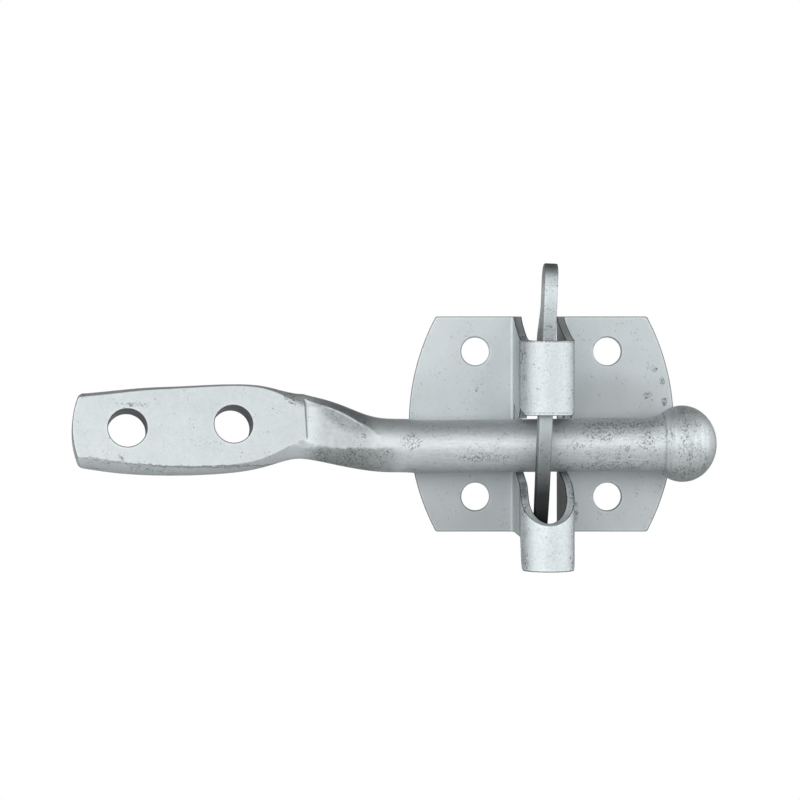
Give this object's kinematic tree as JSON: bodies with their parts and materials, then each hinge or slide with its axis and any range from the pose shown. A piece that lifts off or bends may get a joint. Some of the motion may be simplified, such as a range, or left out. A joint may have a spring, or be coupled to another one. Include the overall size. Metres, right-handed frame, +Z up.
{
  "type": "gate latch",
  "caption": "Automatic gate latch: folded steel body with upper and lower loops, a lifting tongue, and a striker arm whose round bar lies in the mouth behind the tongue.",
  "frame": {"origin": "centre of the four screw holes, on the back face of the latch body, which lies on the post", "axes": "+X to the right of someone who faces the latch, +Z up, and the front faces -Y; the striker arm reaches to -X"},
  "size_m": [0.1456, 0.0248, 0.0683],
  "materials": {
    "body_zinc": "dull zinc plating",
    "rivet_zinc": "dull zinc plating",
    "tongue_zinc": "dull zinc plating",
    "arm_zinc": "dull zinc plating, worn"
  },
  "bodies": {
    "latch": {"latch_plate": "body_zinc", "guide_rivet": "rivet_zinc", "striker_arm": "arm_zinc"},
    "tongue": {"tongue": "tongue_zinc"}
  },
  "joints": [
    {"name": "tongue_lift", "type": "slide", "parent": "latch", "child": "tongue", "axis": [0.0393, 0, 0.9992], "range_m": [0, 0.026]}
  ]
}
